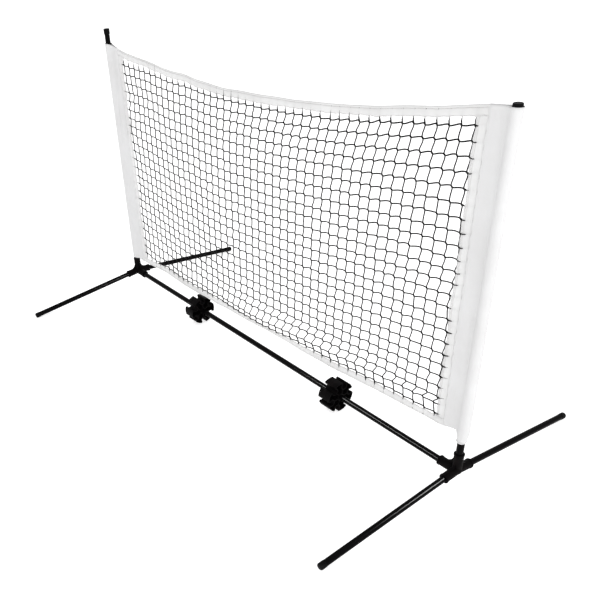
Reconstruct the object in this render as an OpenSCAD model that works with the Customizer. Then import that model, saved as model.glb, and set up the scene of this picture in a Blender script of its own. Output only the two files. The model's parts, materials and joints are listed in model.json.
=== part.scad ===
// Portable badminton net on a free-standing stand of push-fit tubes.
// Millimetres, +Z up, +X towards the right post, +Y towards the rear.
// The origin is on the floor, midway between the posts.

/* [Stand] */
// Distance between the axes of the two posts
post_spacing = 2950; // [2600:10:3200]
// Height of the tops of the posts above the floor
stand_h = 1711; // [1700:1:1740]
// Length of a leg, from the middle of its connector to the end of its cap
leg_reach = 848; // [840:1:900]
// Angle at which each leg slopes down to the floor
leg_slope = 5.7; // [5.6:0.1:6.5]
// Distance from the middle of the stand to each clip hub
hub_x = 658; // [500:1:900]
// How far the crossbar runs below the middle of the connectors
crossbar_drop = 4; // [0:0.5:6]

/* [Tubes] */
// Outside diameter of the leg, crossbar and upper post tubes
tube_d = 32; // [30:0.5:32]
// Outside diameter of the lower post tubes
lower_post_d = 35; // [35:0.1:35.4]
// Wall thickness of every tube
tube_wall = 1.2; // [1:0.05:1.2]
// Length of each post tube
post_tube_len = 840; // [830:1:870]

/* [Connectors] */
// Outside diameter of a connector's sockets
socket_d = 46; // [45:0.5:48]
// Outside diameter of the rim round each socket's mouth
rim_d = 50; // [49:0.5:54]
// Length of the leg sockets, from the middle of the connector
leg_socket_len = 90; // [80:1:100]
// Length of the post socket, from the middle of the connector
post_socket_len = 96; // [85:1:105]
// Length of the crossbar socket, from the middle of the connector
crossbar_socket_len = 100; // [90:1:110]

/* [Clip hubs] */
// Outside diameter of a clip hub
hub_d = 174; // [168:1:176]
// Length of a clip hub along the crossbar
hub_len = 83; // [70:1:100]
// Distance from a hub's axis to the middle of each clip
clip_pitch_r = 64.5; // [62:0.5:66]
// Diameter of a clip
clip_d = 33; // [32.5:0.5:34]
// Angle to which the left hub is turned on the crossbar
left_hub_turn = 30; // [0:1:59]
// Angle to which the right hub is turned on the crossbar
right_hub_turn = 10; // [0:1:59]

/* [Net] */
// Height of the net's top edge at mid span
net_top_mid = 1541; // [1500:1:1550]
// Rise of the top edge from mid span to the posts, averaged over both sides
net_top_rise = 130.5; // [100:0.5:135]
// Height by which the top edge is higher at the right post than at the left
net_tilt = 86; // [0:1:90]
// Height of the net's bottom edge beside the left post
net_bottom = 206; // [200:1:260]
// How much higher the bottom edge is beside the right post
net_bottom_rise = 79; // [0:1:80]
// Distance left of mid span at which the bottom edge starts to rise
net_bottom_turn = 760; // [0:10:1200]
// Width of the tape sewn round the mesh
tape_w = 43; // [30:1:60]
// Distance from each post axis to the seam between its sleeve and the side tape
sleeve_flat_w = 107; // [80:1:140]

/* [Hidden] */

$fn = 64;
LEFT = -1;
RIGHT = 1;
FRONT = 1;
REAR = -1;
big = 400;

// Fits: a pull-out tube has pull_gap all round, a fixed one fixed_gap, a turning hub turn_gap
pull_gap = 0.3;
fixed_gap = 0.05;
turn_gap = 0.08;
end_gap = 0.3;

tube_r = tube_d / 2;
post_x = post_spacing / 2;
lower_post_r = lower_post_d / 2;
socket_r = socket_d / 2;
rim_r = rim_d / 2;
rim_len = 8;
rim_bevel = 1.5;
socket_floor = 28;
connector_ball_r = 25;
web_t = 8;
crossbar_web_reach = 80;
leg_web_reach = 62;
leg_web_drop = leg_web_reach * tan(leg_slope);

cap_r = tube_r + 1.2;
cap_round = 8;
cap_len = 32;
cap_end_t = 4;
sole_cut = 0.8;
// Height of the legs' common axis point: the caps' rounded ends just pass the floor by sole_cut
axis_h = (leg_reach - cap_round) * sin(leg_slope) + (cap_r - cap_round) * cos(leg_slope)
    + cap_round - sole_cut;
crossbar_h = axis_h - crossbar_drop;

post_cap_r = tube_r + 2.5;
post_cap_len = 30;
post_cap_top_t = 3;
post_cap_round = 3;
post_foot_z = axis_h + socket_floor + end_gap;
post_stop_t = 6;
post_stop_w = 3;
upper_post_top = stand_h - post_cap_top_t - fixed_gap;
upper_post_foot = upper_post_top - post_tube_len;

hub_r = hub_d / 2;
hub_bore_r = tube_r + turn_gap;
hub_barrel_r = 21;
hub_wall = 4;
hub_web_t = 11;
hub_stop_t = 4;
clip_r = clip_d / 2;
clips = 6;
clip_step = 360 / clips;
clip_half_mouth = 48;
clip_flare = 8;

seam_x = post_x - sleeve_flat_w;
mesh_x = seam_x - tape_w;
tape_t = 3;
mesh_t = 1;
cord_r = 2;
sleeve_in_r = 19.2;
sleeve_out_r = 20.7;
seam_half_t = 1.5;
net_steps = 32;
// The right sleeve hangs level with the post's top, and the left one has slid down to its connector
left_sleeve_foot = axis_h + post_socket_len + 1;
right_sleeve_foot = left_sleeve_foot + 68;
left_sleeve_mouth = stand_h - 81;
right_sleeve_mouth = stand_h - 11;
left_sleeve_notch = 10;
right_sleeve_notch = 60;

// The net's outline: a sagging top edge, and a bottom edge that rises towards the right
function top_edge(x) = net_top_mid + net_tilt * x / post_spacing + net_top_rise * pow(x / post_x, 2);
function bottom_edge(x) =
    net_bottom + net_bottom_rise * max(0, x + net_bottom_turn) / (seam_x + net_bottom_turn);
function reversed(list) = [for (i = [len(list) - 1:-1:0]) list[i]];
function top_run(xs, below) = [for (x = xs) [x, top_edge(x) - below]];
function bottom_run(xs, above) = [for (x = xs) [x, bottom_edge(x) + above]];
mesh_xs = [for (i = [0:net_steps]) mesh_x * (2 * i / net_steps - 1)];
tape_xs = concat([-seam_x], mesh_xs, [seam_x]);

// ---------- stand ----------

module at_connector(side) {
    translate([side * post_x, 0, axis_h]) children();
}

// Turns +Z to point out along a front or rear leg
module along_leg(way) {
    rotate([way * (90 + leg_slope), 0, 0]) children();
}

// Turns +Z to point along the crossbar, from the given side towards the middle
module towards_middle(side) {
    rotate([0, -side * 90, 0]) children();
}

module socket(length) {
    cylinder(h = length, r = socket_r);
    translate([0, 0, length - rim_len]) cylinder(h = rim_len - rim_bevel, r = rim_r);
    translate([0, 0, length - rim_bevel]) cylinder(h = rim_bevel, r1 = rim_r, r2 = rim_r - rim_bevel);
}

module socket_bore(length, bore_r) {
    translate([0, 0, socket_floor]) cylinder(h = length, r = bore_r);
}

// Flat web in the corner between the post socket and a lower one, with a hollow outer edge;
// drop is how far the lower socket has fallen below the corner at the web's end
module web_outline(reach, drop) {
    difference() {
        square([reach, reach - drop]);
        translate([reach, reach - drop]) circle(reach - socket_r);
    }
}

module base_connector(side) {
    color([0.07, 0.07, 0.075]) at_connector(side) difference() {
        union() {
            sphere(connector_ball_r);
            socket(post_socket_len);
            for (way = [FRONT, REAR]) along_leg(way) socket(leg_socket_len);
            translate([0, 0, -crossbar_drop]) towards_middle(side) socket(crossbar_socket_len);
            // Webs from the post socket to the crossbar socket and to both leg sockets
            mirror([side > 0 ? 1 : 0, 0, 0]) rotate([90, 0, 0])
                linear_extrude(web_t, center = true) web_outline(crossbar_web_reach, crossbar_drop);
            for (way = [FRONT, REAR]) mirror([0, way > 0 ? 1 : 0, 0]) rotate([90, 0, 90])
                linear_extrude(web_t, center = true) web_outline(leg_web_reach, leg_web_drop);
        }
        socket_bore(post_socket_len, lower_post_r + pull_gap);
        for (way = [FRONT, REAR]) along_leg(way) socket_bore(leg_socket_len, tube_r + pull_gap);
        translate([0, 0, -crossbar_drop]) towards_middle(side)
            socket_bore(crossbar_socket_len, tube_r + fixed_gap);
    }
}

module tube(length, r) {
    difference() {
        cylinder(h = length, r = r);
        translate([0, 0, -1]) cylinder(h = length + 2, r = r - tube_wall);
    }
}

module leg(side, way) {
    color([0.03, 0.03, 0.035]) at_connector(side) along_leg(way)
        translate([0, 0, socket_floor + end_gap])
            tube(leg_reach - cap_end_t - fixed_gap - socket_floor - end_gap, tube_r);
}

module leg_cap(side, way) {
    color([0.05, 0.05, 0.055]) difference() {
        at_connector(side) along_leg(way) translate([0, 0, leg_reach - cap_len]) difference() {
            rotate_extrude() {
                square([cap_r - cap_round, cap_len]);
                square([cap_r, cap_len - cap_round]);
                translate([cap_r - cap_round, cap_len - cap_round]) circle(cap_round);
            }
            translate([0, 0, -1]) cylinder(h = cap_len - cap_end_t + 1, r = tube_r + fixed_gap);
        }
        // The sole: a flat where the cap stands on the floor
        translate([side * post_x, 0, -big / 2]) cube([big, 4 * leg_reach, big], center = true);
    }
}

// A crossbar tube from x0 to x1
module crossbar_tube(x0, x1) {
    color([0.03, 0.03, 0.035]) translate([x0, 0, crossbar_h]) rotate([0, 90, 0]) tube(x1 - x0, tube_r);
}

module outer_crossbar_tube(side) {
    inner_x = hub_x + hub_stop_t / 2 + end_gap;
    outer_x = post_x - socket_floor - end_gap;
    crossbar_tube(side > 0 ? inner_x : -outer_x, side > 0 ? outer_x : -inner_x);
}

module centre_crossbar_tube() {
    reach = hub_x - hub_stop_t / 2 - end_gap;
    crossbar_tube(-reach, reach);
}

// ---------- clip hubs ----------

module each_clip() {
    for (i = [0:clips - 1]) rotate(i * clip_step) children();
}

// Lead-in of a clip's mouth, out to the rim; margin widens it
module clip_lead_in(margin) {
    lip_x = clip_pitch_r + clip_r * cos(clip_half_mouth);
    lip_y = clip_r * sin(clip_half_mouth);
    polygon([
        [lip_x - margin, -lip_y - margin], [hub_r + 2, -lip_y - clip_flare - margin],
        [hub_r + 2, lip_y + clip_flare + margin], [lip_x - margin, lip_y + margin]
    ]);
}

module hub_section() {
    difference() {
        circle(hub_r, $fn = 96);
        circle(hub_bore_r);
        each_clip() {
            translate([clip_pitch_r, 0]) circle(clip_r);
            clip_lead_in(0);
        }
    }
}

// The hollows between the hub's barrel, clip walls, rim and spokes
module hub_hollows() {
    difference() {
        circle(hub_r - hub_wall, $fn = 96);
        circle(hub_barrel_r);
        each_clip() {
            translate([clip_pitch_r, 0]) circle(clip_r + hub_wall);
            clip_lead_in(hub_wall);
            translate([0, -hub_wall / 2]) square([clip_pitch_r - clip_r, hub_wall]);
        }
    }
}

module clip_hub(side, turn) {
    hollow_depth = (hub_len - hub_web_t) / 2;
    color([0.06, 0.06, 0.065]) translate([side * hub_x, 0, crossbar_h])
        rotate([90, 0, 90]) rotate(turn) {
            difference() {
                translate([0, 0, -hub_len / 2]) linear_extrude(hub_len) hub_section();
                for (face = [-hub_len / 2 - 1, hub_len / 2 - hollow_depth])
                    translate([0, 0, face]) linear_extrude(hollow_depth + 1) hub_hollows();
            }
            translate([0, 0, -hub_stop_t / 2]) cylinder(h = hub_stop_t, r = hub_barrel_r);
        }
}

// ---------- posts ----------

module post_lower(side) {
    color([0.05, 0.05, 0.055]) translate([side * post_x, 0, 0]) {
        translate([0, 0, post_foot_z]) tube(post_tube_len, lower_post_r);
        // Rolled bead inside, on which the upper tube stands
        translate([0, 0, upper_post_foot - end_gap - post_stop_t]) difference() {
            cylinder(h = post_stop_t, r = lower_post_r - tube_wall / 2);
            translate([0, 0, -1]) cylinder(h = post_stop_t + 2, r = lower_post_r - tube_wall - post_stop_w);
        }
    }
}

module post_upper(side) {
    color([0.03, 0.03, 0.035]) translate([side * post_x, 0, upper_post_foot]) tube(post_tube_len, tube_r);
}

module post_cap(side) {
    color([0.02, 0.02, 0.02]) translate([side * post_x, 0, stand_h - post_cap_len]) difference() {
        rotate_extrude() {
            square([post_cap_r - post_cap_round, post_cap_len]);
            square([post_cap_r, post_cap_len - post_cap_round]);
            translate([post_cap_r - post_cap_round, post_cap_len - post_cap_round]) circle(post_cap_round);
        }
        translate([0, 0, -1]) cylinder(h = post_cap_len - post_cap_top_t + 1, r = tube_r + fixed_gap);
    }
}

// ---------- net ----------

// Stands an outline drawn in X and Z upright and gives it a thickness across Y
module upright(thickness) {
    rotate([90, 0, 0]) linear_extrude(thickness, center = true) children();
}

module net_mesh() {
    color([0.12, 0.12, 0.12]) upright(mesh_t)
        polygon(concat(top_run(mesh_xs, tape_w), reversed(bottom_run(mesh_xs, tape_w))));
}

module top_tape() {
    color("white") upright(tape_t)
        polygon(concat(top_run(tape_xs, 2 * cord_r), reversed(top_run(tape_xs, tape_w))));
}

module bottom_tape() {
    color("white") upright(tape_t)
        polygon(concat(bottom_run(tape_xs, tape_w), reversed(bottom_run(tape_xs, 0))));
}

module side_tape(side) {
    color("white") mirror([side > 0 ? 0 : 1, 0, 0]) upright(tape_t)
        polygon([
            [mesh_x, bottom_edge(side * mesh_x) + tape_w], [seam_x, bottom_edge(side * seam_x) + tape_w],
            [seam_x, top_edge(side * seam_x) - tape_w], [mesh_x, top_edge(side * mesh_x) - tape_w]
        ]);
}

// Eight-sided run of cord that makes the net's top edge, just above the top tape
module headline_cord() {
    sides = 8;
    turns = [for (k = [0:sides - 1]) 360 * (k + 0.5) / sides];
    points = [
        for (x = tape_xs) for (t = turns) [x, cord_r * cos(t), top_edge(x) - cord_r + cord_r * sin(t)]
    ];
    rings = len(tape_xs);
    first_end = [for (k = [0:sides - 1]) k];
    last_end = [for (k = [sides - 1:-1:0]) (rings - 1) * sides + k];
    walls = [
        for (i = [0:rings - 2]) for (k = [0:sides - 1]) let(n = (k + 1) % sides)
            [i * sides + k, (i + 1) * sides + k, (i + 1) * sides + n, i * sides + n]
    ];
    color("white") polyhedron(points, concat([first_end], walls, [last_end]));
}

// Plan of a sleeve round a post at the origin: two layers that meet at a seam on the -X side
module sleeve_plan() {
    seam = [-sleeve_flat_w, seam_half_t];
    touch_angle = atan2(seam.y, seam.x) - acos(sleeve_out_r / norm(seam));
    touch = sleeve_out_r * [cos(touch_angle), sin(touch_angle)];
    polygon([
        [seam.x, -seam.y], [touch.x, -touch.y], [0, 0], [touch.x, touch.y], seam
    ]);
}

// A sleeve: a fabric tube on the post from foot to mouth, and the flat part out to the seam
module sleeve(side, foot, mouth, notch) {
    seam_foot = bottom_edge(side * seam_x);
    color("white") translate([side * post_x, 0, 0]) mirror([side > 0 ? 0 : 1, 0, 0]) difference() {
        union() {
            translate([0, 0, foot]) cylinder(h = mouth - foot, r = sleeve_out_r);
            intersection() {
                linear_extrude(2 * stand_h) sleeve_plan();
                upright(4 * sleeve_out_r) polygon([
                    [-sleeve_flat_w, seam_foot], [0, seam_foot + notch],
                    [0, mouth], [-sleeve_flat_w, top_edge(side * seam_x)]
                ]);
            }
        }
        translate([0, 0, foot - 1]) cylinder(h = mouth - foot + 2, r = sleeve_in_r);
    }
}

module left_sleeve() {
    sleeve(LEFT, left_sleeve_foot, left_sleeve_mouth, left_sleeve_notch);
}

module right_sleeve() {
    sleeve(RIGHT, right_sleeve_foot, right_sleeve_mouth, right_sleeve_notch);
}

base_connector(LEFT);  // left_base_connector
base_connector(RIGHT);  // right_base_connector
leg(LEFT, FRONT);  // left_front_leg
leg(LEFT, REAR);  // left_rear_leg
leg(RIGHT, FRONT);  // right_front_leg
leg(RIGHT, REAR);  // right_rear_leg
leg_cap(LEFT, FRONT);  // left_front_leg_cap
leg_cap(LEFT, REAR);  // left_rear_leg_cap
leg_cap(RIGHT, FRONT);  // right_front_leg_cap
leg_cap(RIGHT, REAR);  // right_rear_leg_cap
outer_crossbar_tube(LEFT);  // left_crossbar_tube
centre_crossbar_tube();
outer_crossbar_tube(RIGHT);  // right_crossbar_tube
clip_hub(LEFT, left_hub_turn);  // left_clip_hub
clip_hub(RIGHT, right_hub_turn);  // right_clip_hub
post_lower(LEFT);  // left_post_lower
post_lower(RIGHT);  // right_post_lower
post_upper(LEFT);  // left_post_upper
post_upper(RIGHT);  // right_post_upper
post_cap(LEFT);  // left_post_cap
post_cap(RIGHT);  // right_post_cap
net_mesh();
top_tape();
bottom_tape();
side_tape(LEFT);  // left_side_tape
side_tape(RIGHT);  // right_side_tape
headline_cord();
left_sleeve();
right_sleeve();
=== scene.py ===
import json
import math

import bpy
import numpy as np
from mathutils import Matrix, Vector


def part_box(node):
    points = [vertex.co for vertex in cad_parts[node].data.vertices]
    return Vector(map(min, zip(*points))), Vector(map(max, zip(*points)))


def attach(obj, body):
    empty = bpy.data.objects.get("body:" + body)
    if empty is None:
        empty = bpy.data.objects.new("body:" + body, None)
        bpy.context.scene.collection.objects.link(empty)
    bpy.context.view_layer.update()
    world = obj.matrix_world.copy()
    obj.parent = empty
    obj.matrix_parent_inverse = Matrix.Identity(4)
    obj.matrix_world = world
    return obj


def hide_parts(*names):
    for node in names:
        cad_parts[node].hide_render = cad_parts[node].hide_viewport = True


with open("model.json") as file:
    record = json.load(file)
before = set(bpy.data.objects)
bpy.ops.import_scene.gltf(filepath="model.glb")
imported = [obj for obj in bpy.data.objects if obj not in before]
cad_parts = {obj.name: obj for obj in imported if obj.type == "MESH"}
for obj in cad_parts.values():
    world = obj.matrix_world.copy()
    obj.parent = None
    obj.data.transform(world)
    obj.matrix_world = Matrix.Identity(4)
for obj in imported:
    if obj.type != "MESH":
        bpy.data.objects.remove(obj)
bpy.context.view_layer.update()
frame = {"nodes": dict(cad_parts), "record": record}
nodes = frame["nodes"]

# ------------------------------------------------------------------ camera
# The view that matches the photograph: place in metres, angles, lens and sensor in millimetres
CAMERA_AT = (3.026, -2.285, 2.354)
CAMERA_TURN = math.radians(-57.76)
CAMERA_DIP = math.radians(35.13)
CAMERA_ROLL = math.radians(-4.55)
CAMERA_LENS = 43.59
CAMERA_SENSOR = 36
CAMERA_CLIP_END = 200
CAMERA_SHIFT = (0.146, 0.175)


def make_camera():
    """Points a camera along the turn and dip, then rolls it about its own axis."""
    ahead = Vector((
        math.sin(CAMERA_TURN) * math.cos(CAMERA_DIP),
        math.cos(CAMERA_TURN) * math.cos(CAMERA_DIP),
        -math.sin(CAMERA_DIP),
    ))
    level_right = ahead.cross(Vector((0, 0, 1))).normalized()
    level_up = level_right.cross(ahead)
    right = math.cos(CAMERA_ROLL) * level_right + math.sin(CAMERA_ROLL) * level_up
    up = math.cos(CAMERA_ROLL) * level_up - math.sin(CAMERA_ROLL) * level_right
    camera = bpy.data.objects.new("camera", bpy.data.cameras.new("camera"))
    bpy.context.scene.collection.objects.link(camera)
    turn = Matrix((right, up, -ahead)).transposed().to_4x4()
    camera.matrix_world = Matrix.Translation(CAMERA_AT) @ turn
    camera.data.lens = CAMERA_LENS
    camera.data.sensor_width = CAMERA_SENSOR
    camera.data.shift_x, camera.data.shift_y = CAMERA_SHIFT
    camera.data.clip_end = CAMERA_CLIP_END
    bpy.context.scene.camera = camera


make_camera()

# ------------------------------------------------------------------ sizes taken from the frame
post_x = sum(v.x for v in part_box("right_post_lower")) / 2
seam_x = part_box("top_tape")[1].x
mesh_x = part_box("net_mesh")[1].x
# How far a side tape's cloth reaches in over the mesh
SIDE_TAPE_LAP = 0.010


def outline(node, pick):
    """Upper (max) or lower (min) edge of an upright CAD panel: heights at its own stations along X."""
    place = nodes[node].matrix_world
    points = [place @ v.co for v in nodes[node].data.vertices]
    stations = sorted({round(p.x, 3) for p in points})
    return stations, [pick(p.z for p in points if abs(p.x - x) < 0.002) for x in stations]


top_line = outline("headline_cord", max)
mesh_line = outline("net_mesh", max)
bottom_line = outline("bottom_tape", min)
tape_width = np.interp(0, *top_line) - np.interp(0, *mesh_line)
side_width = seam_x - mesh_x + SIDE_TAPE_LAP


# Shallow waves of the tapes' outer edges, as (height, middle along X, spread)
TOP_WAVES = (
    (0.0066, -0.61, 0.08), (-0.0052, -0.24, 0.12), (0.0030, -1.03, 0.14), (-0.0030, -1.26, 0.07),
    (0.0020, 0.98, 0.16),
)
BOTTOM_WAVES = ((-0.011, 0.56, 0.20), (0.012, -1.02, 0.13))


def bump(x, middle, spread):
    """A smooth hump of height 1."""
    return np.exp(-((x - middle) / spread) ** 2)


def add_waves(heights, x, waves):
    for height, middle, spread in waves:
        heights = heights + height * bump(x, middle, spread)
    return heights


def corner_lift(x):
    """How far the bottom tape's lower edge turns up at the right corner."""
    return 0.009 * np.exp((x - seam_x) / 0.014)


def top_edge(x):
    """The hem's top, with the waves of cloth that hangs from a slack cord."""
    return add_waves(np.interp(x, *top_line), x, TOP_WAVES)


def bottom_edge(x):
    """The bottom tape's lower edge: it bellies a little and turns up at the right corner."""
    return add_waves(np.interp(x, *bottom_line), x, BOTTOM_WAVES) + corner_lift(x)


# ------------------------------------------------------------------ materials
class Nodes:
    """Builds one material's node tree."""

    def __init__(self, name):
        self.material = bpy.data.materials.new(name)
        self.material.use_nodes = True
        self.tree = self.material.node_tree
        self.tree.nodes.clear()
        self.out = self.tree.nodes.new("ShaderNodeOutputMaterial")
        self.shader = self.tree.nodes.new("ShaderNodeBsdfPrincipled")
        self.link(self.shader.outputs[0], self.out.inputs["Surface"])

    def link(self, a, b):
        self.tree.links.new(a, b)

    def add(self, kind, **values):
        node = self.tree.nodes.new(kind)
        for key, value in values.items():
            if key in node.inputs:
                node.inputs[key].default_value = value
            else:
                setattr(node, key, value)
        return node

    def coords(self, output="Object"):
        return self.add("ShaderNodeTexCoord").outputs[output]

    def noise(self, coords, scale, detail=3.0, roughness=0.55):
        node = self.add("ShaderNodeTexNoise", Scale=scale, Detail=detail, Roughness=roughness)
        self.link(coords, node.inputs["Vector"])
        return node.outputs["Fac"]

    def ramp(self, fac, low, high, a, b):
        node = self.add("ShaderNodeMapRange")
        node.inputs["From Min"].default_value = low
        node.inputs["From Max"].default_value = high
        node.inputs["To Min"].default_value = a
        node.inputs["To Max"].default_value = b
        self.link(fac, node.inputs["Value"])
        return node.outputs["Result"]

    def math(self, operation, a, b=None):
        node = self.add("ShaderNodeMath", operation=operation)
        for socket, value in zip(node.inputs, (a, b)):
            if isinstance(value, (int, float)):
                socket.default_value = value
            elif value is not None:
                self.link(value, socket)
        return node.outputs[0]

    def mix_colour(self, fac, a, b):
        node = self.add("ShaderNodeMix", data_type="RGBA")
        node.inputs[6].default_value = (*a, 1)
        node.inputs[7].default_value = (*b, 1)
        self.link(fac, node.inputs[0])
        return node.outputs[2]

    def bump(self, height, distance, strength=1.0, after=None):
        node = self.add("ShaderNodeBump", Distance=distance, Strength=strength)
        self.link(height, node.inputs["Height"])
        if after is not None:
            self.link(after, node.inputs["Normal"])
        return node.outputs["Normal"]

    def set(self, **values):
        names = {"colour": "Base Color", "roughness": "Roughness", "normal": "Normal"}
        for key, value in values.items():
            socket = self.shader.inputs[names.get(key, key)]
            if isinstance(value, bpy.types.NodeSocket):
                self.link(value, socket)
            else:
                socket.default_value = value


def moulded_plastic(name, colour, worn, rough=0.48, grain=2600):
    """Black moulded plastic: a fine spark-eroded grain, faint flow marks and paler handling wear."""
    m = Nodes(name)
    at = m.coords()
    wear = m.ramp(m.noise(at, 18, 5, 0.65), 0.5, 0.8, 0, 1)
    m.set(colour=m.mix_colour(wear, colour, worn))
    m.set(roughness=m.ramp(m.noise(at, 55, 4), 0.3, 0.7, rough - 0.07, rough + 0.12))
    flow = m.bump(m.noise(at, 34, 2), 0.0006, 0.35)
    m.set(normal=m.bump(m.noise(at, grain, 2), 0.00012, 0.5, flow))
    m.set(**{"Specular IOR Level": 0.026})
    return m.material


def powder_coat(name, colour, worn, rough=0.10):
    """Glossy black powder coat on steel tube: orange-peel ripple, light scuffs and dust."""
    m = Nodes(name)
    at = m.coords()
    dust = m.ramp(m.noise(at, 26, 6, 0.7), 0.55, 0.85, 0, 1)
    m.set(colour=m.mix_colour(dust, colour, worn))
    m.set(roughness=m.ramp(m.noise(at, 90, 5, 0.6), 0.3, 0.72, rough - 0.02, rough + 0.05))
    peel = m.bump(m.noise(at, 420, 2), 0.00002, 0.3)
    m.set(normal=m.bump(m.noise(at, 2400, 1), 0.000003, 0.4, peel))
    m.set(**{"Specular IOR Level": 0.03})
    return m.material


def woven_cloth(name, colour, shade, see_through, seams=(), thread=0.0007):
    """Thin white plain-weave cloth: crossed threads, soft creases, and light that comes through it.
    seams: (share of the width in V, spread) of each sewn seam; along each the colour is darkened as painted
    shade, standing in for the shadow in the seam's groove."""
    m = Nodes(name)
    at = m.coords()
    split = m.add("ShaderNodeSeparateXYZ")
    m.link(at, split.inputs[0])
    rate = 2 * math.pi / thread
    warp = m.math("SINE", m.math("MULTIPLY", split.outputs["X"], rate))
    weft = m.math("SINE", m.math("MULTIPLY", split.outputs["Z"], rate))
    weave = m.math("MULTIPLY", warp, weft)
    slub = m.noise(at, 210, 4, 0.7)
    # Random soil patches darken the cloth towards shade; painted shade below darkens it along each seam line
    # too
    soil_and_seam_shade = m.ramp(m.noise(at, 3.2, 4, 0.6), 0.42, 0.72, 0, 1)
    if seams:
        flat = m.add("ShaderNodeSeparateXYZ")
        m.link(m.coords("UV"), flat.inputs[0])
        # Painted shade: a darker line along each seam, standing in for the shadow in its groove
        for share, spread in seams:
            apart = m.math("ABSOLUTE", m.math("SUBTRACT", flat.outputs["Y"], share))
            soil_and_seam_shade = m.math("MAXIMUM", soil_and_seam_shade, m.ramp(apart, spread, 0, 0, 2.4))
    tint = m.mix_colour(m.math("MULTIPLY", soil_and_seam_shade, 0.4), colour, shade)
    m.set(colour=tint)
    m.set(roughness=m.ramp(slub, 0.3, 0.7, 0.78, 0.95))
    crease = m.bump(m.noise(at, 38, 4, 0.6), 0.0012, 0.5)
    threads = m.bump(weave, 0.00009, 0.45, crease)
    normal = m.bump(slub, 0.00018, 0.5, threads)
    m.set(normal=normal)
    m.set(**{"Specular IOR Level": 0.22, "Sheen Weight": 0.09, "Sheen Roughness": 0.5})
    glow = m.add("ShaderNodeBsdfTranslucent")
    m.link(tint, glow.inputs["Color"])
    m.link(normal, glow.inputs["Normal"])
    both = m.add("ShaderNodeMixShader")
    both.inputs[0].default_value = see_through
    m.link(m.shader.outputs[0], both.inputs[1])
    m.link(glow.outputs[0], both.inputs[2])
    m.link(both.outputs[0], m.out.inputs["Surface"])
    return m.material


def twisted_twine(name, colour, fuzz, twist=300, rough=0.72):
    """Laid twine: strands that wind round it, with a paler fuzz. U runs along the twine, V round it."""
    m = Nodes(name)
    split = m.add("ShaderNodeSeparateXYZ")
    m.link(m.coords("UV"), split.inputs[0])
    along = m.math("MULTIPLY", split.outputs["X"], twist * 2 * math.pi)
    around = m.math("MULTIPLY", split.outputs["Y"], 3 * 2 * math.pi)
    strand_wave = m.math("SINE", m.math("ADD", along, around))
    fibres = m.noise(m.coords(), 900, 3, 0.7)
    m.set(colour=m.mix_colour(m.ramp(fibres, 0.45, 0.75, 0, 1), colour, fuzz))
    m.set(roughness=m.ramp(fibres, 0.3, 0.7, rough, rough + 0.16))
    m.set(normal=m.bump(strand_wave, 0.0003, 0.7, m.bump(fibres, 0.0002, 0.5)))
    m.set(**{"Specular IOR Level": 0.105})
    return m.material


BLACK = (0.0028, 0.0024, 0.0026)
WORN_BLACK = (0.009, 0.007, 0.007)
SLEEVE_WHITE = (0.80, 0.80, 0.804)
TAPE_WHITE = (0.85, 0.85, 0.85)
# Darker cloth colour, used for random soil and for painted shade along the tapes' seams
CLOTH_SHADE = (0.675, 0.663, 0.659)

connector_plastic = moulded_plastic("connector_plastic", BLACK, WORN_BLACK)
hub_plastic = moulded_plastic("hub_plastic", BLACK, WORN_BLACK, 0.5)
cap_plastic = moulded_plastic("cap_plastic", (0.0042, 0.0042, 0.0045), (0.014, 0.014, 0.014), 0.42, 3200)
tube_paint = powder_coat("tube_paint", (0.0022, 0.0020, 0.0022), (0.007, 0.006, 0.006))
# Its colour is darkened as painted shade along lines at 0.27 and 0.925 of the width, the hem's seam and fold
tape_cloth = woven_cloth("tape_cloth", TAPE_WHITE, CLOTH_SHADE, 0.36, ((0.27, 0.05), (0.925, 0.03)))
sleeve_cloth = woven_cloth("sleeve_cloth", SLEEVE_WHITE, CLOTH_SHADE, 0.20)
mesh_twine = twisted_twine("mesh_twine", (0.0045, 0.0045, 0.005), (0.014, 0.013, 0.013))
sewing_thread = twisted_twine("sewing_thread", (0.54, 0.54, 0.53), (0.68, 0.68, 0.68), 900, 0.6)
hem_cord = twisted_twine("hem_cord", (0.63, 0.63, 0.61), (0.75, 0.75, 0.74), 160)


def paint_frame():
    """Gives the rigid CAD pieces their plastic and paint; the soft ones are replaced below."""
    finish = {
        "connector_plastic": connector_plastic, "hub_plastic": hub_plastic,
        "cap_plastic": cap_plastic, "tube_paint": tube_paint,
    }
    for part in frame["record"]["subparts"]:
        look = finish.get(part["material_slot"])
        if look is None:
            continue
        mesh = nodes[part["node"]].data
        mesh.materials.clear()
        mesh.materials.append(look)


paint_frame()


# ------------------------------------------------------------------ mesh building
def new_object(name, verts, faces, look, body, uvs=None):
    """One smooth-shaded piece that rides on a body; uvs holds a pair for each vertex."""
    mesh = bpy.data.meshes.new(name)
    mesh.from_pydata([tuple(v) for v in verts], [], [tuple(f) for f in faces])
    mesh.update()
    mesh.materials.append(look)
    mesh.polygons.foreach_set("use_smooth", [True] * len(mesh.polygons))
    if uvs is not None:
        layer = mesh.uv_layers.new(name="UVMap")
        index = np.zeros(len(mesh.loops), int)
        mesh.loops.foreach_get("vertex_index", index)
        layer.data.foreach_set("uv", np.asarray(uvs, np.float32)[index].ravel())
    obj = bpy.data.objects.new(name, mesh)
    bpy.context.scene.collection.objects.link(obj)
    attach(obj, body)
    return obj


def run_along(path):
    """Distances along a path of points, from its start to each of them."""
    return np.concatenate([[0], np.cumsum(np.linalg.norm(np.diff(path, axis=0), axis=1))])


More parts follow.
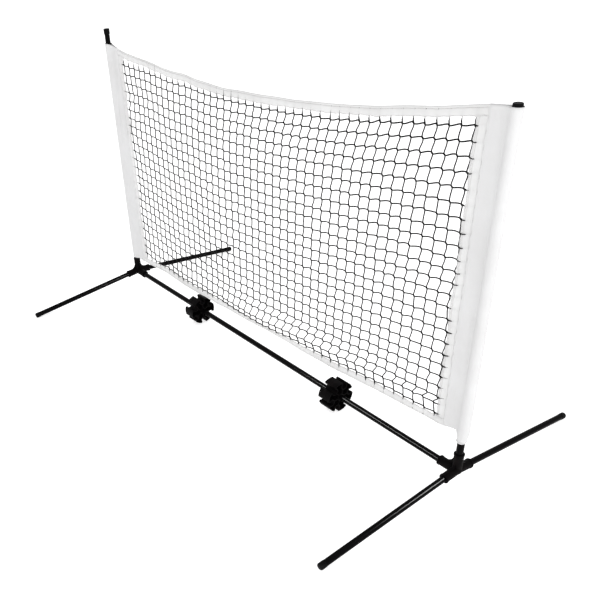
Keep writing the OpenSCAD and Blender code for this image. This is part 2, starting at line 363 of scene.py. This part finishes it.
class Bundle:
    """Gathers many small tubes and blobs into one mesh."""

    def __init__(self):
        self.verts, self.faces, self.uvs, self.count = [], [], [], 0

    def grid(self, rings, uvs, closed_ends=True):
        """Joins n closed rings of k points, given as (n, k, 3), into one skin."""
        n, k = rings.shape[:2]
        at = self.count
        self.verts.append(rings.reshape(-1, 3))
        self.uvs.append(uvs.reshape(-1, 2))
        i, j = np.meshgrid(np.arange(n - 1), np.arange(k), indexing="ij")
        nxt = (j + 1) % k
        quads = np.stack([i * k + j, i * k + nxt, (i + 1) * k + nxt, (i + 1) * k + j], -1)
        self.faces.extend((quads.reshape(-1, 4) + at).tolist())
        if closed_ends:
            self.faces.append(list(range(at + k - 1, at - 1, -1)))
            self.faces.append([at + (n - 1) * k + q for q in range(k)])
        self.count += n * k

    def tube(self, path, radii, sides=6):
        """A round tube along a path of (n, 3) points, with a radius at each point."""
        path = np.asarray(path, float)
        radii = np.broadcast_to(np.asarray(radii, float), (len(path),))
        ahead = np.gradient(path, axis=0)
        ahead /= np.maximum(np.linalg.norm(ahead, axis=1, keepdims=True), 1e-9)
        side = np.cross(ahead, (0.0, 1.0, 0.0))
        weak = np.linalg.norm(side, axis=1) < 0.2
        side[weak] = np.cross(ahead[weak], (0.0, 0.0, 1.0))
        side /= np.linalg.norm(side, axis=1, keepdims=True)
        out = np.cross(ahead, side)
        turn = 2 * np.pi * np.arange(sides) / sides
        ring = side[:, None] * np.cos(turn)[:, None] + out[:, None] * np.sin(turn)[:, None]
        rings = path[:, None] + ring * radii[:, None, None]
        uvs = np.stack(np.broadcast_arrays(run_along(path)[:, None], turn[None] / (2 * np.pi)), -1)
        self.grid(rings, uvs)

    def build(self, name, look, body):
        verts, uvs = np.concatenate(self.verts), np.concatenate(self.uvs)
        return new_object(name, verts, self.faces, look, body, uvs)


def wander(count, waves, seed):
    """Smooth random numbers with a spread of about 1, at count evenly spaced places."""
    draw = np.random.default_rng(seed)
    t = np.linspace(0, 1, count)
    total = np.zeros(count)
    for w in range(1, waves + 1):
        total += draw.normal() * np.sin(2 * np.pi * (w * t * 0.7 + draw.random()))
    return total / math.sqrt(waves / 2)


# ------------------------------------------------------------------ the knotted mesh
COLUMNS, ROWS = 44, 24
FIRST_STRING, LAST_STRING = -1.304, 1.314
ROW_PITCH = 0.0541
CELL_STEPS = 6
# Radii of the strings, and of what the cloth of a tape hides and presses flat
UPRIGHT_R, LEVEL_R = 0.0030, 0.0032
HIDDEN_TWINE_R = 0.0010
# From the hem's top down to the first row of knots
TOP_DROP = 0.065
# How far a string's ends stand from the middle of a knot
KNOT_DX, KNOT_DZ = 0.0034, 0.0032
KNOT_WRAP_R, KNOT_TWINE_R = 0.0026, 0.0016
KNOT_CORE_R = np.array([0.0022, 0.0035, 0.0038, 0.0035, 0.0022])
SQUASHED_ROWS = 3
# How strongly a string eases out of its knots, along X, Y and Z
UPRIGHT_CURL = np.array([1.2, 1, 0])
LEVEL_CURL = np.array([0, 1, 0.5])
# Sag of the first row's strings, and upward bow of those from the third row down
TOP_SAG, LOW_BOW = 0.0012, 0.0022
# Where the strings end inside the tapes
IN_TOP_TAPE, IN_BOTTOM_TAPE = 0.034, 0.008
SEAM_GAP, BORDER_GAP, BORDER_ZIGZAG = 0.004, 0.006, 0.003


def knot_places():
    """Knots (columns, rows, 3): near-even cells that lean at the top, drift left further down and
    squash in the last three rows, where the mesh lies slack on the bottom tape."""
    col = np.arange(COLUMNS)[:, None] + np.zeros((1, ROWS))
    row = np.arange(ROWS)[None, :] + np.zeros((COLUMNS, 1))
    u = col / (COLUMNS - 1)
    from_right = COLUMNS - 1 - col
    straight = ROWS - 1 - SQUASHED_ROWS

    # Across: the lean at the top, the drift, the pulls at both side tapes and the squashed zigzag
    x = FIRST_STRING + (LAST_STRING - FIRST_STRING) * u
    belly = np.sin(np.pi * u)
    pulled = 0.042 * np.exp(-(row / 2.7) ** 1.4) * np.sin(np.pi * u ** 1.4)
    slack = np.clip((row - straight) / 2, 0, 1)
    drift = (0.010 + 0.0009 * row) * belly
    drift = drift + (0.040 * bump(u, 0.56, 0.20) + 0.010 * np.clip((u - 0.3) / 0.4, 0, 1)) * slack
    at_left = 0.027 * bump(row, 3.2, 1.6) + 0.024 * bump(row, 12.8, 2.6)
    at_right = 0.005 * bump(row, 9, 1.6) - 0.009 * bump(row, 4.5, 1.8) - 0.012 * bump(row, 12.5, 1.3)
    x = x + pulled - drift + at_left * np.exp(-col / 2.3) + at_right * np.exp(-from_right / 3.5)
    x = x + 0.014 * np.clip(row - straight - 2, 0, 1) * bump(u, 0.72, 0.16)
    x = x - 0.006 * (-1.0) ** row * np.clip((row - straight + 1) / 2, 0, 1) * np.exp(-from_right / 8)

    # Up and down: the rows follow the hem, with local sags, and the last three lie on the bottom tape
    first = top_edge(x[:, :1]) - TOP_DROP - 0.016 * np.exp(-col[:, :1] / 2.2)
    first = first - 0.006 * np.exp(-from_right[:, :1] / 2.5)
    pitch = ROW_PITCH + 0.003 * np.clip((u - 0.6) / 0.4, 0, 1) ** 2
    z = first - pitch * row + 0.007 * (1 - np.exp(-row / 1.5))
    z = z - 0.019 * bump(row, 6.5, 4.5) * np.exp(-from_right / 4.5)
    z = z + 0.014 * np.clip((row - 5) / 4, 0, 1) * np.exp(-col / 1.8)
    z = z + 0.007 * bump(u, 0.42, 0.06) * np.exp(-row / 9) - 0.004 * bump(u, 0.06, 0.05) * np.exp(-row / 4)
    gap = 0.049 + 0.005 * np.clip(x / seam_x, 0, 1) - 0.029 * bump(x, 0, 0.36)
    last = bottom_edge(x) + gap + 0.030 * np.exp(-col / 2.0)
    fallen = z[:, straight:straight + 1]
    final = last[:, -1:]
    last_share = 0.17 + 0.18 * ((u[:, :1] - 0.45) / 0.55) ** 2
    z[:, straight + 1:straight + 2] = fallen + (final - fallen) * 0.37
    z[:, straight + 2:straight + 3] = fallen + (final - fallen) * (1 - last_share)
    z[:, straight + 3:] = final

    draw = np.random.default_rng(21)
    x = x + draw.normal(0, 0.0012, x.shape)
    z = z + draw.normal(0, 0.0013, x.shape)
    y = 0.0012 * np.sin(col * 0.21 + row * 0.12) + 0.0008 * np.sin(col * 0.5 - row * 0.35 + 2)
    y = y + draw.normal(0, 0.0005, x.shape)
    return np.stack([x, y, z], -1)


def strand(start, end, bend, curl):
    """Twine from one knot to the next: it leaves and arrives square, with a soft S between."""
    t = np.linspace(0, 1, CELL_STEPS + 1)[:, None]
    ease = t * t * (3 - 2 * t) - t
    return start + (end - start) * (t + ease * curl) + bend * np.sin(np.pi * t)


def string_end(start, to_x, to_z, stops, shown, radius):
    """The end of a string that runs in under a tape, thinner from the share shown onwards."""
    points = [[start[0] + (to_x - start[0]) * t, start[1] * (1 - t), start[2] + (to_z - start[2]) * t]
              for t in stops]
    return points, [radius if t <= shown else HIDDEN_TWINE_R for t in stops]


def upright_string(knots, size, i, draw):
    """One vertical string, from inside the top tape to inside the bottom tape."""
    before = np.array([-0.85 * KNOT_DX, 0, KNOT_DZ])
    start = knots[i, 0] + before * size[i, 0]
    tape_foot = top_edge(start[0]) - tape_width
    lean = draw.normal(0.006, 0.003)
    stops = (1, 0.7, 0.45, 0.2)
    points, radii = string_end(start, start[0] + lean, tape_foot + IN_TOP_TAPE, stops, 0.3, UPRIGHT_R)
    points, radii = [points], [radii]
    for j in range(ROWS - 1):
        bend = np.array([draw.normal(0, 0.0010), draw.normal(0, 0.0008), 0])
        leaves = knots[i, j] - before * size[i, j]
        arrives = knots[i, j + 1] + before * size[i, j + 1]
        seg = strand(leaves, arrives, bend, UPRIGHT_CURL)
        points.append(seg)
        radii.append([UPRIGHT_R] * len(seg))
    last = knots[i, -1] - before * size[i, -1]
    low = bottom_edge(last[0]) + IN_BOTTOM_TAPE
    stops = (0.15, 0.35, 0.55, 0.75, 1)
    tail, tail_r = string_end(last, last[0] - 0.004, low, stops, 0.5, UPRIGHT_R)
    return np.concatenate(points + [tail]), np.concatenate(radii + [tail_r])


def level_string(knots, size, j, draw):
    """One horizontal string, from inside the left side tape to inside the right one."""
    before = np.array([-KNOT_DX, 0, 0.9 * KNOT_DZ])
    bow = LOW_BOW - (TOP_SAG + LOW_BOW) * max(0, 1 - j / 2)
    start = knots[0, j] + before * size[0, j]
    inside = seam_x - SEAM_GAP
    first_z = start[2] + draw.normal(0, 0.003)
    points, radii = string_end(start, -inside, first_z, (1, 0.7, 0.5, 0.2), 0.3, LEVEL_R)
    points, radii = [points], [radii]
    for i in range(COLUMNS - 1):
        bend = np.array([0, draw.normal(0, 0.0008), draw.normal(bow, 0.0009)])
        leaves = knots[i, j] - before * size[i, j]
        arrives = knots[i + 1, j] + before * size[i + 1, j]
        seg = strand(leaves, arrives, bend, LEVEL_CURL)
        points.append(seg)
        radii.append([LEVEL_R] * len(seg))
    last = knots[-1, j] - before * size[-1, j]
    shown = draw.uniform(0.25, 0.55)
    end_z = last[2] + draw.normal(0.014, 0.003)
    tail, tail_r = string_end(last, inside, end_z, (0.15, 0.3, 0.45, 0.6, 0.75, 1), shown, LEVEL_R)
    return np.concatenate(points + [tail]), np.concatenate(radii + [tail_r])


def add_knot(bundle, at, size, turn):
    """A sheet-bend knot: a fat core on the diagonal with one and a half turns of twine round it."""
    axis = np.array([KNOT_DX, 0, -KNOT_DZ]) * size
    across = np.array([axis[2], 0, -axis[0]]) / np.linalg.norm(axis)
    front = np.array([0, 1.0, 0])
    turns = np.linspace(0, 1, 13)
    angle = 2 * np.pi * 1.6 * turns + turn
    wrap = (across[None] * np.cos(angle)[:, None] + front * np.sin(angle)[:, None]) * KNOT_WRAP_R
    path = at + axis[None] * (1.8 * turns[:, None] - 0.9) + wrap
    bundle.tube(path, KNOT_TWINE_R, 5)
    core = at + axis[None] * np.linspace(-1.5, 1.5, 5)[:, None]
    bundle.tube(core, KNOT_CORE_R, 6)


def build_twine():
    """The strings, the border string at each side and the knots, which stand in for net_mesh."""
    knots = knot_places()
    draw = np.random.default_rng(5)
    size = draw.uniform(0.75, 1.3, (COLUMNS, ROWS, 1))
    bundle = Bundle()
    for i in range(COLUMNS):
        bundle.tube(*upright_string(knots, size, i, draw))
    for j in range(ROWS):
        bundle.tube(*level_string(knots, size, j, draw))
    for side, edge_column in ((-1, 0), (1, -1)):
        heights = knots[edge_column, :, 2]
        zigzag = BORDER_ZIGZAG * (-1.0) ** np.arange(ROWS)
        border = np.stack([side * (seam_x - BORDER_GAP) + zigzag, 0 * heights, heights], -1)
        bundle.tube(border, HIDDEN_TWINE_R, 5)
    twine = bundle.build("net_twine", mesh_twine, "net")
    knot_bundle = Bundle()
    for i in range(COLUMNS):
        for j in range(ROWS):
            add_knot(knot_bundle, knots[i, j], size[i, j, 0], i + 2 * j)
    knot_bundle.build("net_knots", mesh_twine, "net")
    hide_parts("net_mesh")


build_twine()


# ------------------------------------------------------------------ tapes
# Half thickness of a tape across its width, as (share of the width, metres): a corded, rolled hem
# and its seam, then two flat layers, then the folded lower edge
HEM_PROFILE = [
    (0.0, 0.0005), (0.02, 0.0018), (0.06, 0.0027), (0.11, 0.0029), (0.16, 0.0025), (0.20, 0.0016),
    (0.255, 0.0007), (0.285, 0.0008), (0.33, 0.0015), (0.5, 0.0018), (0.7, 0.0017), (0.85, 0.0016),
    (0.90, 0.0015), (0.93, 0.0008), (0.955, 0.0014), (0.985, 0.0012), (1.0, 0.0004),
]
EDGE_PROFILE = [
    (0.0, 0.0005), (0.02, 0.0015), (0.06, 0.0019), (0.10, 0.0016), (0.125, 0.0007), (0.15, 0.0014),
    (0.3, 0.0017), (0.5, 0.0018), (0.7, 0.0017), (0.85, 0.0016), (0.90, 0.0015), (0.925, 0.0008),
    (0.95, 0.0014), (0.985, 0.0012), (1.0, 0.0004),
]
HEM_SEAM, EDGE_SEAM, FOLD_SEAM = 0.27, 0.125, 0.925
# Share of the width at which a rolled edge is thickest, and its spread
ROLL_AT, ROLL_SPREAD = 0.16, 0.13
TAPE_STEPS, SIDE_STEPS = 560, 260
# The tapes' inner edges are scalloped from string to string
SCALLOP, SIDE_SCALLOP = 0.061, 0.054
# How far a side tape stops short of the outer edges of the top and bottom tapes
SIDE_TUCK = 0.030
STITCH_PITCH = 0.0085
STITCH_RADII = (0.0003, 0.00042, 0.00042, 0.0003)


def tape_strip(name, edge, across, profile, ripple, roll=None):
    """A tape of two cloth layers joined at both edges: a closed, flattened tube.
    edge: (n, 3) points along one edge; across: (n, 3) vectors to the other edge;
    ripple: (n, k) shift along Y; roll: (n,) extra half thickness of a rolled first edge."""
    share = np.array([p[0] for p in profile])
    half = np.array([p[1] for p in profile])[None] + np.zeros((len(edge), 1))
    if roll is not None:
        half = half + roll[:, None] * bump(share, ROLL_AT, ROLL_SPREAD)[None]
    middle = edge[:, None] + across[:, None] * share[None, :, None]
    near, far = middle.copy(), middle.copy()
    near[..., 1] += ripple - half
    far[..., 1] += ripple + half
    rings = np.concatenate([near, far[:, ::-1]], axis=1)
    widths = np.concatenate([share, share[::-1]])
    bundle = Bundle()
    bundle.grid(rings, np.stack(np.broadcast_arrays(run_along(edge)[:, None], widths[None]), -1))
    return bundle.build(name, tape_cloth, "net"), near, far


def shares(profile):
    """The profile's shares of the width, as one row."""
    return np.array([p[0] for p in profile])[None]


stitches = Bundle()


def add_stitches(surface, profile, at_share, outward):
    """A row of thread stitches lying on one face of a tape, along a seam at a share of its width."""
    share = shares(profile)[0]
    line = np.stack([[np.interp(at_share, share, row[:, k]) for k in range(3)] for row in surface])
    run = run_along(line)
    for n in range(int(run[-1] / STITCH_PITCH)):
        reach = (n + np.array([0.12, 0.3, 0.62, 0.8])) * STITCH_PITCH
        path = np.stack([np.interp(reach, run, line[:, k]) for k in range(3)], -1)
        path[:, 1] += outward * np.array([-0.0001, 0.0005, 0.0005, -0.0001])
        stitches.tube(path, STITCH_RADII, 4)


def sew(near, far, profile, seams):
    """Stitches along each seam, on both faces of a tape."""
    for face, outward in ((near, -1), (far, 1)):
        for seam in seams:
            add_stitches(face, profile, seam, outward)


def build_tapes():
    """Top, bottom, left and right side tapes, with all their stitching as one piece."""
    steps = TAPE_STEPS
    x = np.linspace(-seam_x, seam_x, steps)
    scallop = 0.5 - 0.5 * np.cos(2 * np.pi * (x - FIRST_STRING) / SCALLOP)
    zero = 0 * x
    built = []

    v = shares(HEM_PROFILE)
    top = np.stack([x, zero, top_edge(x) + 0.0009 * wander(steps, 14, 3)], -1)
    down = np.stack([zero, zero, -tape_width + 0.0018 * scallop + 0.0013 * wander(steps, 30, 4)], -1)
    ripple = 0.0012 * wander(steps, 9, 11)[:, None] * (0.3 + 0.7 * v)
    ripple = ripple + 0.0008 * np.sin(2 * np.pi * x / SCALLOP + 0.6)[:, None] * v ** 2
    strip, near, far = tape_strip("top_tape_cloth", top, down, HEM_PROFILE, ripple)
    built.append(strip)
    sew(near, far, HEM_PROFILE, (HEM_SEAM, FOLD_SEAM + 0.005))

    v = shares(EDGE_PROFILE)
    low = np.stack([x, zero, bottom_edge(x) + 0.0014 * wander(steps, 26, 6)], -1)
    rolled = bump(x, 0, 0.36)
    width = tape_width - 0.024 * rolled - 0.0016 * scallop + 0.0010 * wander(steps, 20, 7)
    width = width - corner_lift(x)
    ripple = 0.0024 * wander(steps, 16, 12)[:, None] * (1 - v) ** 2
    ripple = ripple + 0.0008 * wander(steps, 9, 13)[:, None] * v
    strip, near, far = tape_strip(
        "bottom_tape_cloth", low, np.stack([zero, zero, width], -1), EDGE_PROFILE, ripple, 0.0026 * rolled)
    built.append(strip)
    sew(near, far, EDGE_PROFILE, (EDGE_SEAM, FOLD_SEAM))

    steps = SIDE_STEPS
    for side, label in ((-1, "left"), (1, "right")):
        inner_x = side * (seam_x - side_width)
        z = np.linspace(bottom_edge(inner_x) + SIDE_TUCK, top_edge(inner_x) - SIDE_TUCK, steps)
        inner = np.stack([inner_x + 0 * z, 0 * z, z], -1)
        inner[:, 0] += side * 0.0024 * (0.5 - 0.5 * np.cos(2 * np.pi * z / SIDE_SCALLOP))
        inner[:, 0] += 0.0022 * wander(steps, 9, 30 + side)
        over = np.stack([side * (seam_x + 0.001) - inner[:, 0], 0 * z, 0 * z], -1)
        ripple = 0.0014 * wander(steps, 11, 40 + side)[:, None] * (1 - v)
        strip, near, far = tape_strip(f"{label}_side_tape_cloth", inner, over, EDGE_PROFILE, ripple)
        built.append(strip)
        sew(near, far, EDGE_PROFILE, (EDGE_SEAM, FOLD_SEAM))
    for strip, node in zip(built, ("top_tape", "bottom_tape", "left_side_tape", "right_side_tape")):
        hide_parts(node)
    stitches.build("net_stitching", sewing_thread, "net")
    return built


tapes = build_tapes()


# ------------------------------------------------------------------ headline cord in the hem
CORD_R = 0.0019
CORD_DROP = 0.0045


def build_cord():
    x = np.linspace(-seam_x, seam_x, 180)
    bundle = Bundle()
    bundle.tube(np.stack([x, 0 * x, top_edge(x) - CORD_DROP], -1), CORD_R, 8)
    cord = bundle.build("headline_rope", hem_cord, "net")
    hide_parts("headline_cord")


build_cord()


# ------------------------------------------------------------------ sleeves
SLEEVE_ROWS, SLEEVE_POINTS = 190, 116
# Radius round the post, and the cloth's run from the seam round the post and back
SLEEVE_R = 0.0204
SEAM_OVERLAP = 0.006
# Half the gap between the two layers where they lie together
HALF_GAP = 0.0016
# The angle at which the two layers part towards the post, at the mouth
SPLIT_ANGLE = math.radians(44)
# Where a sleeve's loose mouth gapes most, from the post's axis, and the gape's spread
GAPE_AT, GAPE_SPREAD = -0.032, 0.022
ARC_POINTS, FOLD_POINTS, BEND_POINTS = 61, 30, 20
CLOTH_T = 0.0007


def sleeve_loop(reach, radius, steep, gape, count):
    """Plan of the cloth round a post at the origin, as (count, 2) points: from a fold on the -X side
    along the rear layer, round the post and back along the front one. The two layers lie together
    away from the post and part at the angle steep. gape opens them there, as at a loose mouth."""
    corner = -(radius + HALF_GAP * (math.cos(steep) - 1)) / math.sin(steep)
    easing = min(0.6 * radius / math.tan(steep), 0.45 * (reach + corner))
    if easing <= 0:
        span = math.hypot(reach, HALF_GAP)
        lean = math.atan2(HALF_GAP, -reach) - math.acos(min(1, radius / span))
        turn = np.linspace(lean, -lean, ARC_POINTS)
        arc = radius * np.stack([np.cos(turn), np.sin(turn)], -1)
        fold = np.array([-reach, HALF_GAP])
        rear = fold + (arc[0] - fold) * np.linspace(0, 1, FOLD_POINTS)[:-1, None]
    else:
        lean = math.pi / 2 + steep
        turn = np.linspace(lean, -lean, ARC_POINTS)
        arc = radius * np.stack([np.cos(turn), np.sin(turn)], -1)
        bend = np.array([corner, HALF_GAP])
        into, out = bend - (easing, 0), bend + easing * np.array([math.cos(steep), math.sin(steep)])
        t = np.linspace(0, 1, BEND_POINTS)[:, None]
        ease = into * (1 - t) ** 2 + bend * 2 * t * (1 - t) + out * t ** 2
        rear = np.concatenate([np.array([[-reach, HALF_GAP]]), ease])
    loop = np.concatenate([rear, arc, rear[::-1] * (1, -1)])
    opening = bump(loop[:, 0], GAPE_AT, GAPE_SPREAD) * gape
    loop[:, 1] += np.sign(loop[:, 1]) * opening
    run = run_along(loop)
    at = np.linspace(0, run[-1], count)
    return np.stack([np.interp(at, run, loop[:, k]) for k in range(2)], -1)


def sleeve_rows(side, foot, mouth, corner_rise, rows):
    """For each row of the cloth: how far it reaches from the post's axis, its height at that end and
    beside the post. It starts as a cuff, opens out under an arch, then follows the seam upwards."""
    flat = post_x - seam_x + SEAM_OVERLAP
    seam_foot = bottom_edge(side * seam_x) - 0.002
    arch = seam_foot + corner_rise
    low_end = max(0.5, (seam_foot + 0.5 * corner_rise - foot) / (arch - foot))
    # row's share, reach, then heights at the far end and beside the post as shares of foot to arch
    knots = np.array([
        (0.0, SLEEVE_R + 0.0014, 0.0, 0.0), (0.02, SLEEVE_R + 0.0022, 0.07, 0.07),
        (0.04, SLEEVE_R + 0.0040, 0.16, 0.14), (0.07, 0.027, 0.40, 0.26), (0.10, 0.031, 0.60, 0.38),
        (0.13, 0.036, 0.81, 0.50), (0.16, 0.044, 0.97, 0.62), (0.19, 0.056, 1.0, 0.74),
        (0.22, 0.074, low_end, 0.86), (0.26, flat, (seam_foot - foot) / (arch - foot), 1.0),
    ])
    t = np.linspace(0, 1, rows)
    reach, end_share, post_share = (np.interp(t, knots[:, 0], knots[:, k]) for k in (1, 2, 3))
    up = np.clip((t - knots[-1, 0]) / (1 - knots[-1, 0]), 0, 1)
    end_z = foot + (arch - foot) * end_share
    post_z = foot + (arch - foot) * post_share
    end_z = end_z + (top_edge(side * seam_x) - 0.0005 - seam_foot) * up
    post_z = post_z + (mouth - arch) * up
    return reach, end_z, post_z


def raised(loop_x, loop_y, slant):
    """How much higher a slipped cuff sits on its front outer side than on its inner rear side."""
    outward = (0.45 * loop_x - 0.89 * loop_y) / SLEEVE_R
    return slant * np.clip(0.5 + 0.5 * outward, 0, 1)


def build_sleeve(side, label, slant, corner_rise, loose, spread, seed):
    """One sleeve: the cloth round its post, row by row, from the cuff up to the mouth.
    slant: how far its cuff has slipped up; corner_rise: how high the cut-away corner arches;
    loose: slack round the post; spread: change of the split angle down the sleeve."""
    low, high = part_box(f"{label}_sleeve")
    foot, mouth = low.z, high.z
    rows, count = SLEEVE_ROWS, SLEEVE_POINTS
    reach, end_z, post_z = sleeve_rows(side, foot, mouth, corner_rise, rows)
    full = reach.max()
    draw = np.random.default_rng(seed)
    folds = [(draw.uniform(1.2, 4.5), draw.uniform(0, 6.3), draw.uniform(20, 70), draw.normal())
             for _ in range(9)]
    verts = np.zeros((rows, count, 3))
    for r in range(rows):
        above = post_z[r] - foot
        near_top = max(0.0, 1 - (mouth - post_z[r]) / 0.10)
        easing = 1 - 0.8 * np.clip((above - 0.1) / 1.1, 0, 1)
        slack = loose * easing * np.clip(above / 0.06, 0, 1)
        steep = SPLIT_ANGLE - spread * min(1, (mouth - post_z[r]) / 0.6)
        gape = 0.0050 * near_top ** 2 + 0.0006
        loop = sleeve_loop(reach[r], SLEEVE_R + 0.35 * slack, steep, gape, count)
        share = np.clip(-loop[:, 0] / reach[r], 0, 1)
        z = post_z[r] + (end_z[r] - post_z[r]) * share ** 1.15
        z = z + raised(loop[:, 0], loop[:, 1], slant) * np.clip(1 - above / 0.08, 0, 1)
        flatness = np.clip(-loop[:, 0] / full, 0, 1)
        held = np.clip(flatness / 0.25, 0, 1) * np.clip((1 - flatness) / 0.12, 0, 1)
        wrinkle = np.zeros(count)
        for along, phase, across, weight in folds:
            wrinkle += weight * np.sin(along * z * 2.2 + across * loop[:, 0] + phase)
        wrinkle *= 0.0009 * held
        round_post = 1 - np.clip(flatness / 0.25, 0, 1)
        snug = 0.0005 * round_post * (1 + np.sin(z * 26 + loop[:, 1] * 90))
        hang = 1.1 * slack * round_post
        sewn = 0.005 * (0.5 - 0.5 * np.cos(2 * np.pi * z / ROW_PITCH)) * np.clip((flatness - 0.9) / 0.1, 0, 1)
        away = np.sign(loop[:, 1])
        verts[r, :, 0] = side * (post_x + loop[:, 0] + snug * (loop[:, 0] > 0) + hang + sewn)
        verts[r, :, 1] = loop[:, 1] + away * (np.abs(wrinkle) * 0.6 + 0.0008 * held) + wrinkle * 0.6
        verts[r, :, 2] = z
    faces = []
    for r in range(rows - 1):
        for c in range(count):
            a, b = r * count + c, r * count + (c + 1) % count
            quad = (a, b, b + count, a + count)
            faces.append(quad if side < 0 else quad[::-1])
    sleeve = new_object(
        f"{label}_sleeve_cloth", verts.reshape(-1, 3), faces, sleeve_cloth, "net")
    shell = sleeve.modifiers.new("cloth", "SOLIDIFY")
    shell.thickness = CLOTH_T
    shell.offset = 0
    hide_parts(f"{label}_sleeve")
    return sleeve


def build_cuff_hem(side, label, slant):
    """The rolled hem round a sleeve's foot."""
    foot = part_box(f"{label}_sleeve")[0].z
    turn = np.linspace(0, 2 * np.pi, 65)[:-1]
    bead = np.linspace(0, 2 * np.pi, 9)[:-1]
    rings = []
    for b in bead:
        radius = SLEEVE_R + 0.0024 + 0.0016 * np.cos(b)
        height = foot + 0.0034 + 0.0034 * np.sin(b)
        tilt = raised(SLEEVE_R * np.cos(turn), SLEEVE_R * np.sin(turn), slant)
        tilt = tilt + 0.0008 * np.sin(2 * turn + side)
        rings.append(np.stack([
            side * (post_x + radius * np.cos(turn)), radius * np.sin(turn), height + tilt], -1))
    # The first ring comes again at the end, so that the bead closes on itself
    rings.append(rings[0])
    rings = np.array(rings)
    bundle = Bundle()
    bundle.grid(rings if side > 0 else rings[::-1], np.zeros((*rings.shape[:2], 2)), closed_ends=False)
    return bundle.build(f"{label}_cuff_hem", sleeve_cloth, "net")


for side, label, slant, corner_rise, loose, spread, seed in (
        (-1, "left", 0.016, 0.008, 0.003, 0.0, 61), (1, "right", 0.0, 0.030, 0.007, math.radians(-12), 62)):
    sleeve = build_sleeve(side, label, slant, corner_rise, loose, spread, seed)
    build_cuff_hem(side, label, slant)


# ------------------------------------------------------------------ cloth facts
def edge_run(edge):
    """Length of a tape along its outer edge, from seam to seam."""
    x = np.linspace(-seam_x, seam_x, TAPE_STEPS)
    return float(np.hypot(np.diff(x), np.diff(edge(x))).sum())


edge_run(top_edge)
edge_run(bottom_edge)


# ------------------------------------------------------------------ stage
FLOOR_REACH, FLOOR_SIDES = 95, 64
FLOOR_GLOW = 0.60
SKY = 0.90
KEY_POWER = 87
GLINT_POWER = 480


def make_stage():
    """A glowing white floor and sky, a soft key, and two lights that only the tubes' gloss shows."""
    scene = bpy.context.scene
    scene.view_settings.view_transform = "Standard"
    scene.view_settings.look = "None"
    turns = [2 * math.pi * n / FLOOR_SIDES for n in range(FLOOR_SIDES)]
    rim = [(FLOOR_REACH * math.cos(turn), FLOOR_REACH * math.sin(turn), 0) for turn in turns]
    floor_mesh = bpy.data.meshes.new("floor")
    floor_mesh.from_pydata(rim, [], [range(FLOOR_SIDES)])
    floor = bpy.data.objects.new("floor", floor_mesh)
    scene.collection.objects.link(floor)
    paint = Nodes("floor_paint")
    patches = paint.noise(paint.coords(), 1.3, 3)
    paint.set(colour=paint.mix_colour(patches, (0.90, 0.90, 0.90), (0.93, 0.93, 0.93)))
    paint.set(roughness=0.9, **{"Specular IOR Level": 0.1})
    paint.set(**{"Emission Color": (1, 1, 1, 1), "Emission Strength": FLOOR_GLOW})
    floor_mesh.materials.append(paint.material)
    world = bpy.data.worlds.new("world")
    world.use_nodes = True
    world.node_tree.nodes["Background"].inputs["Color"].default_value = (1, 1, 1, 1)
    world.node_tree.nodes["Background"].inputs["Strength"].default_value = SKY
    scene.world = world

    def area(name, at, to, size, power):
        light = bpy.data.objects.new(name, bpy.data.lights.new(name, "AREA"))
        light.data.shape = "RECTANGLE"
        light.data.size, light.data.size_y = size
        light.data.energy = power
        light.location = at
        light.rotation_euler = (Vector(to) - Vector(at)).to_track_quat("-Z", "Y").to_euler()
        scene.collection.objects.link(light)
        return light

    area("key", (6.0, -1.2, 3.0), (0.6, 0, 0.8), (3.0, 3.0), KEY_POWER)
    glints = (
        area("crossbar_glint", (-1.18, -2.45, 2.52), (1.0, 0, 0.1), (1.8, 0.9), GLINT_POWER),
        area("leg_glint", (3.4, 1.7, 2.9), (post_x, -0.5, 0.05), (0.9, 1.2), GLINT_POWER),
    )
    tubes = bpy.data.collections.new("tubes")
    for part in frame["record"]["subparts"]:
        if part["material_slot"] == "tube_paint":
            tubes.objects.link(nodes[part["node"]])
    for glint in glints:
        glint.light_linking.receiver_collection = tubes
        glint.visible_diffuse = False


make_stage()
